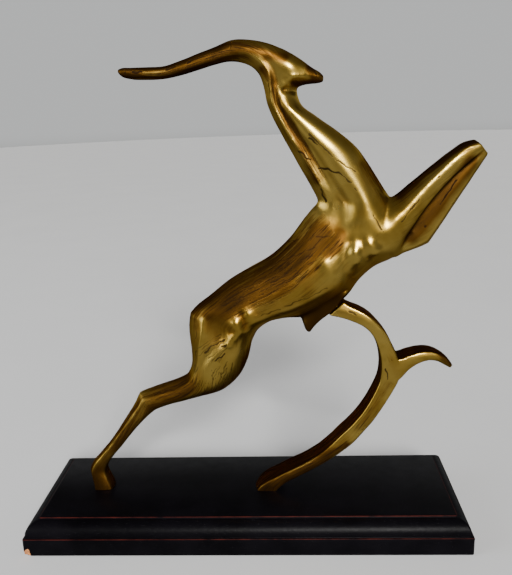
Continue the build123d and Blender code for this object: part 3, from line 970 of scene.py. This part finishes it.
def aged_brass():
    shader = Shader("aged_brass")
    place = shader.place()
    along = shader.attribute("grain_along")
    across = shader.attribute("grain_across")
    clear = shader.attribute("grain_clear")
    hollow = shader.attribute("hollow")
    tarnish_and_shade = shader.attribute("tarnish_and_shade")
    crack = shader.attribute("crack")

    def streaks(along_scale, across_scale, detail, roughness):
        """Noise drawn out along the limb."""
        inputs = {"X": shader.times(along, along_scale), "Y": shader.times(across, across_scale)}
        drawn = shader.node("ShaderNodeCombineXYZ", inputs).outputs[0]
        return shader.noise(drawn, 1.0, detail, roughness)

    broad = streaks(0.03, 0.30, 5.0, 0.6)
    fine = streaks(0.05, 0.9, 6.0, 0.7)
    cloud = shader.noise(place, 32.0, detail=5.0)
    patch = shader.noise(place, 15.0, detail=3.0)
    grit = shader.noise(place, 1000.0, detail=2.0)

    # The painted attribute holds painted shade and highlights as well as tarnish, so this browning also
    # paints shade.
    brown = shader.plus(shader.times(hollow, HOLLOW_BROWN), shader.times(tarnish_and_shade, TARNISH_AND_SHADE_BROWN))
    streaky = shader.times(shader.minus(broad, 0.5), clear)
    brown = shader.plus(brown, shader.times(streaky, STREAK_BROWN))
    brown = shader.plus(brown, shader.times(shader.minus(cloud, 0.5), CLOUD_BROWN))
    brown_share = shader.ramp(brown, 0.0, 0.55)
    deep_share = shader.ramp(brown, 0.35, 0.95)
    fine_dark = shader.times(shader.ramp(fine, 0.51, 0.59), clear)
    fine_dark = shader.times(fine_dark, shader.ramp(brown, 0.0, 0.4))
    orange_share = shader.ramp(shader.plus(shader.times(hollow, 0.30), patch), 0.50, 0.72)
    dark_share = shader.math("MAXIMUM", shader.ramp(crack, 0.15, 0.6), shader.times(fine_dark, 0.9))

    polished = shader.mix(shader.ramp(cloud, 0.35, 0.7), BRASS_BRIGHT, BRASS_DULL)
    warm = shader.mix(shader.times(orange_share, 0.7), polished, BRASS_ORANGE)
    browned = shader.mix(brown_share, warm, shader.mix(deep_share, BRASS_BROWN, BRASS_DEEP_BROWN))
    shader.set("Base Color", shader.mix(shader.times(dark_share, 0.92), browned, BRASS_BLACKENED))
    shader.set("Metallic", 1.0)
    shader.set("Specular Tint", shader.mix(brown_share, BRASS_EDGE, BROWN_EDGE))
    rough = shader.plus(BRASS_ROUGHNESS, shader.times(brown_share, BROWN_ROUGHNESS))
    rough = shader.plus(rough, shader.times(dark_share, CRACK_ROUGHNESS))
    shader.set("Roughness", shader.plus(rough, shader.times(cloud, CLOUD_ROUGHNESS)))
    relief = shader.minus(shader.times(fine, 0.5), fine_dark)
    normal = shader.bump(relief, 0.25, 0.0002)
    shader.set("Normal", shader.bump(grit, 0.06, 0.0001, normal))
    return shader.material


LACQUER_BLACK = colour(0.0012, 0.0010, 0.0016)
LACQUER_CLOUDED = colour(0.0028, 0.0024, 0.0036)
UNDERCOAT_RED = colour(0.075, 0.012, 0.008)
DUST = colour(0.2, 0.2, 0.22)


def black_lacquer():
    shader = Shader("black_lacquer")
    place = shader.place()
    cloud = shader.noise(place, 30.0)
    dust = shader.noise(place, 1500.0, detail=2.0)
    scuff = shader.noise(place, 130.0, detail=6.0)
    ripple = shader.noise(place, 420.0, detail=3.0)
    # The inset from the plinth's edge and the height, both in millimetres, find the arrises.
    axes = shader.node("ShaderNodeSeparateXYZ", {"Vector": place}).outputs
    inset_x = shader.minus(plinth_high.x, shader.math("ABSOLUTE", axes["X"]))
    inset_y = shader.minus(plinth_high.y, shader.math("ABSOLUTE", axes["Y"]))
    inset = shader.math("DIVIDE", shader.math("MINIMUM", inset_x, inset_y), MM)
    height = shader.math("DIVIDE", axes["Z"], MM)

    def arris(at_inset, at_height, reach):
        """1 on the arris at this inset and height, fading to 0 over the reach."""
        off_inset = shader.minus(inset, at_inset)
        off_height = shader.minus(height, at_height)
        squares = shader.plus(shader.times(off_inset, off_inset), shader.times(off_height, off_height))
        return shader.ramp(shader.math("SQRT", squares), reach, 0.0)

    worn = shader.math("MAXIMUM", arris(LIP_INSET, PLINTH_TOP, 1.1), arris(0.0, BAND_TOP, 0.8))
    worn = shader.times(worn, shader.plus(scuff, 0.25))
    wear = shader.ramp(worn, 0.35, 0.75)
    black = shader.mix(shader.ramp(cloud, 0.3, 0.7), LACQUER_BLACK, LACQUER_CLOUDED)
    speck = shader.times(shader.ramp(dust, 0.68, 0.76), 0.18)
    dusty = shader.mix(speck, black, DUST)
    shader.set("Base Color", shader.mix(shader.times(wear, 0.85), dusty, UNDERCOAT_RED))
    shader.set("Roughness", shader.plus(0.30, shader.times(scuff, 0.20)))
    shader.set("Specular IOR Level", 0.055)
    on_ovolo = shader.ramp(shader.minus(PLINTH_TOP, height), 0.3, 1.5)
    normal = shader.bump(cloud, 0.10, 0.0006)
    normal = shader.bump(shader.times(ripple, on_ovolo), 0.45, 0.0003, normal)
    normal = shader.bump(dust, 0.06, 0.0001, normal)
    shader.set("Normal", normal)
    return shader.material


def raw_wood():
    shader = Shader("raw_wood")
    place = shader.place()
    squeezed = shader.node("ShaderNodeMapping", {"Vector": place, "Scale": (0.15, 1.0, 1.0)}).outputs[0]
    grain = shader.noise(squeezed, 1500.0, detail=4.0)
    wood = shader.mix(shader.ramp(grain, 0.3, 0.7), colour(0.28, 0.10, 0.03), colour(0.48, 0.20, 0.07))
    shader.set("Base Color", wood)
    shader.set("Roughness", 0.8)
    shader.set("Normal", shader.bump(grain, 0.6, 0.0004))
    return shader.material


def green_baize():
    shader = Shader("green_baize")
    place = shader.place()
    nap = shader.noise(place, 1600.0, detail=3.0)
    cloud = shader.noise(place, 40.0)
    green = shader.mix(nap, colour(0.012, 0.045, 0.024), colour(0.03, 0.095, 0.05))
    final = shader.mix(shader.times(cloud, 0.3), green, colour(0.02, 0.06, 0.04))
    shader.set("Base Color", final)
    shader.set("Roughness", 0.95)
    shader.set("Sheen Weight", 0.4)
    shader.set("Normal", shader.bump(nap, 0.6, 0.0003))
    return shader.material


def fixing_steel():
    shader = Shader("fixing_steel")
    place = shader.place()
    brushed = shader.noise(place, 700.0, detail=3.0)
    cloud = shader.noise(place, 90.0)
    final = shader.mix(cloud, colour(0.50, 0.50, 0.49), colour(0.62, 0.61, 0.58))
    shader.set("Base Color", final)
    shader.set("Metallic", 1.0)
    shader.set("Roughness", shader.plus(0.28, shader.times(brushed, 0.15)))
    shader.set("Normal", shader.bump(brushed, 0.1, 0.0001))
    return shader.material


def pale_floor():
    shader = Shader("pale_floor")
    cloud = shader.noise(shader.place(), 6.0)
    final = shader.mix(cloud, colour(0.72, 0.73, 0.75), colour(0.78, 0.79, 0.81))
    shader.set("Base Color", final)
    shader.set("Roughness", 0.6)
    return shader.material


# ---- Plinth and baize ----
CORNER_ROUNDING = 1.2  # mm, upright corners, softened by sanding and lacquer
CORNER_STEPS = 4
BAND_TOP = 13.3
STEP_INSET = 1.4
OVOLO_RADIUS = 8.0
OVOLO_STEPS = 10
LIP_HEIGHT = 1.2
HOLES = ((-105.5, 2.3, 7.0), (13.0, 2.3, 7.0))  # x, clearance radius, counterbore radius
COUNTERBORE_TOP = 12.0
OVERCUT = 2.0  # mm, how far a hole's cutter stands out of the board
LIP_INSET = STEP_INSET + OVOLO_RADIUS
CHIP = (-150.3, -50.4, 0.6)  # centre of the knocked-off lower corner
CHIP_SIZE = (6.6, 2.0, 5.4)
# shares of its size by which the break wanders, in lumps and in splinters, and how close those lie
CHIP_LUMPS = 0.45
CHIP_SPLINTERS = 0.12
LUMP_SCALE = 1.7
SPLINTER_SCALE = 6
HOLE_SIDES = 48
SHARP_ANGLE = math.radians(30)
LEVEL = 0.999  # a face whose normal's Z passes this is shaded flat


def plinth_profile():
    """The moulding from bottom to top, as (inset from the edge, height)."""
    bottom = plinth_low.z / MM
    profile = [(0.35, bottom), (0.0, bottom + 0.35)]
    profile += [(0.0, share * BAND_TOP) for share in (0.25, 0.5, 0.75)]
    profile += [(0.0, BAND_TOP - 0.4), (0.12, BAND_TOP - 0.12), (0.4, BAND_TOP)]
    profile += [(STEP_INSET - 0.15, BAND_TOP), (STEP_INSET, BAND_TOP + 0.2)]
    centre_height = PLINTH_TOP - LIP_HEIGHT - OVOLO_RADIUS
    for step in range(OVOLO_STEPS + 1):
        turn = math.pi / 2 * step / OVOLO_STEPS
        inset = STEP_INSET + OVOLO_RADIUS * (1 - math.cos(turn))
        profile.append((inset, centre_height + OVOLO_RADIUS * math.sin(turn)))
    lip = LIP_INSET
    profile += [(lip + 0.08, PLINTH_TOP - LIP_HEIGHT + 0.25), (lip + 0.1, PLINTH_TOP - 0.45)]
    profile += [(lip + 0.22, PLINTH_TOP - 0.15), (lip + 0.5, PLINTH_TOP)]
    return profile


def rounded_loop(inset, height):
    """A rectangle with rounded corners, seen from above, counter-clockwise."""
    half_length = plinth_high.x / MM - inset
    half_depth = plinth_high.y / MM - inset
    rounding = CORNER_ROUNDING
    points = []
    for corner, (side_x, side_y) in enumerate(((1, 1), (-1, 1), (-1, -1), (1, -1))):
        centre_x = side_x * (half_length - rounding)
        centre_y = side_y * (half_depth - rounding)
        for step in range(CORNER_STEPS + 1):
            turn = math.pi / 2 * (corner + step / CORNER_STEPS)
            x = centre_x + rounding * math.cos(turn)
            y = centre_y + rounding * math.sin(turn)
            points.append(Vector((x, y, height)) * MM)
    return points


def board_mesh():
    bm = bmesh.new()
    add_tube(bm, [rounded_loop(*level) for level in plinth_profile()])
    return bm_to_mesh(bm, "plinth_board")


def cylinder_mesh(name, x, radius, bottom, top):
    bm = bmesh.new()
    height = (top - bottom) * MM
    middle = Matrix.Translation(Vector((x * MM, 0, bottom * MM + height / 2)))
    bmesh.ops.create_cone(
        bm,
        cap_ends=True,
        segments=HOLE_SIDES,
        radius1=radius * MM,
        radius2=radius * MM,
        depth=height,
        matrix=middle,
    )
    return bm_to_mesh(bm, name)


def chip_mesh(wood):
    """The rough lump of wood that was knocked off a corner."""
    bm = bmesh.new()
    bmesh.ops.create_icosphere(bm, subdivisions=4, radius=1.0)
    for vertex in bm.verts:
        lumps = CHIP_LUMPS * noise.noise(vertex.co * LUMP_SCALE)
        splinters = CHIP_SPLINTERS * noise.noise(vertex.co * SPLINTER_SCALE)
        reach = [axis * size * (1 + lumps + splinters) for axis, size in zip(vertex.co, CHIP_SIZE)]
        vertex.co = (Vector(CHIP) + Vector(reach)) * MM
    mesh = bm_to_mesh(bm, "chip")
    mesh.materials.append(wood)
    return mesh


def cut_away(piece, cutter_meshes):
    """Subtracts closed meshes from the piece's mesh; the cut keeps the cutter's material."""
    cutters = [place_object("cutter", mesh) for mesh in cutter_meshes]
    for cutter in cutters:
        boolean = piece.modifiers.new("hole", "BOOLEAN")
        boolean.operation = "DIFFERENCE"
        boolean.object = cutter
        boolean.solver = "EXACT"
        boolean.material_mode = "TRANSFER"
    evaluated = piece.evaluated_get(bpy.context.evaluated_depsgraph_get())
    cut = bpy.data.meshes.new_from_object(evaluated)
    piece.modifiers.clear()
    piece.data = cut
    for cutter in cutters:
        bpy.data.objects.remove(cutter)


def make_plinth(lacquer, wood):
    board = board_mesh()
    board.materials.append(lacquer)
    piece = place_object("plinth_lacquered", board)
    cutters = [chip_mesh(wood)]
    for x, clearance, counterbore in HOLES:
        cutters.append(cylinder_mesh("through", x, clearance, -OVERCUT, PLINTH_TOP + OVERCUT))
        cutters.append(cylinder_mesh("counterbore", x, counterbore, -OVERCUT, COUNTERBORE_TOP))
    for cutter in cutters[1:]:
        cutter.materials.append(lacquer)
    cut_away(piece, cutters)
    mesh = piece.data
    mesh.name = "plinth_lacquered"
    for polygon in mesh.polygons:
        polygon.use_smooth = abs(polygon.normal.z) < LEVEL
    mesh.set_sharp_from_angle(angle=SHARP_ANGLE)
    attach(piece, "root")
    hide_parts("plinth")


BAIZE_GRID = 12.0  # mm, spacing of the baize's mesh
BAIZE_PUCKER = 0.05  # mm, how far the glued cloth's edge wanders
BAIZE_WANDER_SCALE = 60  # how quickly that wandering changes, per metre
RIM_REACH = 0.1  # mm, a vertex this near the edge is on it
PLINTH_SLENDERNESS = 3  # length over depth


def make_baize(cloth):
    """The glued baize: a thin sheet with a slightly wandering cut edge."""
    size = baize_high - baize_low
    columns = round(size.x / MM / BAIZE_GRID)
    rows = round(size.y / MM / BAIZE_GRID)
    bm = bmesh.new()
    bmesh.ops.create_grid(bm, x_segments=columns, y_segments=rows, size=0.5)
    for vertex in bm.verts:
        vertex.co = Vector((vertex.co.x * size.x, vertex.co.y * size.y, baize_low.z))
    for item in bmesh.ops.extrude_face_region(bm, geom=bm.faces[:])["geom"]:
        if isinstance(item, bmesh.types.BMVert):
            item.co.z = baize_high.z
    for vertex in bm.verts:
        x, y, z = vertex.co
        if min(baize_high.x - abs(x), baize_high.y - abs(y)) < RIM_REACH * MM:
            inward = -Vector((x, y * PLINTH_SLENDERNESS, 0)).normalized()
            wander = 0.5 + 0.5 * noise.noise(vertex.co * BAIZE_WANDER_SCALE)
            vertex.co += inward * wander * BAIZE_PUCKER * MM
    bmesh.ops.recalc_face_normals(bm, faces=bm.faces)
    mesh = bm_to_mesh(bm, "baize")
    mesh.materials.append(cloth)
    piece = place_object("baize", mesh)
    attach(piece, "root")
    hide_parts("base_baize")


# ---- Stage, light and camera ----
FLOOR_RADIUS = 4.0  # m
FLOOR_FRONT = 0.70  # m, from the object to the floor's front edge


def make_stage():
    bm = bmesh.new()
    bmesh.ops.create_circle(bm, cap_ends=True, segments=96, radius=FLOOR_RADIUS)
    bmesh.ops.translate(bm, verts=bm.verts, vec=(0.0, FLOOR_RADIUS - FLOOR_FRONT, 0.0))
    mesh = bm_to_mesh(bm, "floor")
    mesh.materials.append(pale_floor())
    floor = place_object("floor", mesh)
    floor.visible_glossy = False


CEILING_HEIGHTS = (10.0, 34.0)  # degrees above the horizon between which wall turns to ceiling
WALL = colour(0.56, 0.57, 0.57)  # behind
UNDER_WALL = colour(0.16, 0.15, 0.13)
CEILING = colour(0.105, 0.098, 0.088)
FRONT_ROOM = colour(0.118, 0.116, 0.111)  # in front, above the table
TABLE = colour(0.39, 0.39, 0.38)

def make_room():
    """The light that the polished metal mirrors: a pale wall behind, a dim room in front."""
    world = bpy.data.worlds.new("room")
    world.use_nodes = True
    room = Nodes(world.node_tree)
    direction = room.node("ShaderNodeTexCoord").outputs["Generated"]
    axes = room.node("ShaderNodeSeparateXYZ", {"Vector": direction}).outputs

    def blend(axis, low, high, first, second):
        """From first to second as the direction's axis goes from low to high."""
        return room.mix(room.ramp(axes[axis], low, high), first, second)

    wall_top, ceiling_start = (math.sin(math.radians(height)) for height in CEILING_HEIGHTS)
    wall = blend("Z", wall_top, ceiling_start, WALL, CEILING)
    wall = blend("Z", -0.10, -0.02, UNDER_WALL, wall)
    front = blend("Z", -0.35, -0.10, TABLE, FRONT_ROOM)
    room.feed(room.nodes["Background"].inputs["Color"], blend("Y", -0.50, 0.10, front, wall))
    bpy.context.scene.world = world


WINDOW_AZIMUTH = 12.0  # degrees to the right of straight in front
WINDOW_HEIGHT = 27.0  # degrees above the horizon
WINDOW_WIDTH = 20.0  # degrees across
WINDOW_STRENGTH = 5.8


def make_window():
    """The soft daylight that comes from behind the viewer's right shoulder."""
    sun = bpy.data.lights.new("window", "SUN")
    sun.energy = WINDOW_STRENGTH
    sun.angle = math.radians(WINDOW_WIDTH)
    sun.color = (1.0, 0.985, 0.95)
    window = bpy.data.objects.new("window", sun)
    azimuth = math.radians(WINDOW_AZIMUTH)
    height = math.radians(WINDOW_HEIGHT)
    towards = Vector(
        (math.sin(azimuth) * math.cos(height), -math.cos(azimuth) * math.cos(height), math.sin(height))
    )
    window.rotation_euler = towards.to_track_quat("Z", "Y").to_euler()
    window.location = towards
    bpy.context.collection.objects.link(window)


CARD_PLACE = Vector((-1.5, -0.6, 0.55))  # m
CARD_TARGET = Vector((0.0, 0.0, 0.17))
CARD_SIZE = 1.2  # m
CARD_POWER = 14.0  # W


def make_soft_card():
    """A large dim light on the left, as from a pale wall."""
    light = bpy.data.lights.new("soft_left", "AREA")
    light.shape = "SQUARE"
    light.size = CARD_SIZE
    light.energy = CARD_POWER
    light.color = (0.93, 0.96, 1.0)
    card = bpy.data.objects.new("soft_left", light)
    card.location = CARD_PLACE
    card.rotation_euler = (CARD_TARGET - CARD_PLACE).to_track_quat("-Z", "Y").to_euler()
    bpy.context.collection.objects.link(card)


CAMERA_PLACE = Vector((33.0, -438.4, 287.7)) * MM
CAMERA_YAW = math.radians(-2.92)
CAMERA_DOWN = math.radians(14.8)
CAMERA_ROLL = math.radians(1.98)
CAMERA_LENS = 42.4  # mm, on a sensor 36 mm high


def make_camera():
    forward = Vector(
        (
            math.sin(CAMERA_YAW) * math.cos(CAMERA_DOWN),
            math.cos(CAMERA_YAW) * math.cos(CAMERA_DOWN),
            -math.sin(CAMERA_DOWN),
        )
    )
    level_right = Vector((math.cos(CAMERA_YAW), -math.sin(CAMERA_YAW), 0.0))
    level_down = forward.cross(level_right)
    right = math.cos(CAMERA_ROLL) * level_right + math.sin(CAMERA_ROLL) * level_down
    down = math.cos(CAMERA_ROLL) * level_down - math.sin(CAMERA_ROLL) * level_right
    turn = Matrix((right, -down, -forward)).transposed().to_4x4()
    data = bpy.data.cameras.new("camera")
    data.lens = CAMERA_LENS
    data.sensor_width = 36.0
    data.clip_start = 0.01
    camera = bpy.data.objects.new("camera", data)
    camera.matrix_world = Matrix.Translation(CAMERA_PLACE) @ turn
    bpy.context.collection.objects.link(camera)
    bpy.context.scene.camera = camera


def finish_hidden_pieces(brass, steel):
    """The pegs and fixings stay as the CAD has them, with their own materials."""
    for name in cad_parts:
        if name.endswith("_peg"):
            material = brass
        elif name.startswith(("hoof_", "foot_")):
            material = steel
        else:
            continue
        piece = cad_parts[name]
        for slot in piece.material_slots:
            slot.material = material


brass = aged_brass()
make_castings(brass)
make_plinth(black_lacquer(), raw_wood())
make_baize(green_baize())
finish_hidden_pieces(brass, fixing_steel())
make_stage()
make_room()
make_window()
make_soft_card()
make_camera()

bpy.context.view_layer.update()
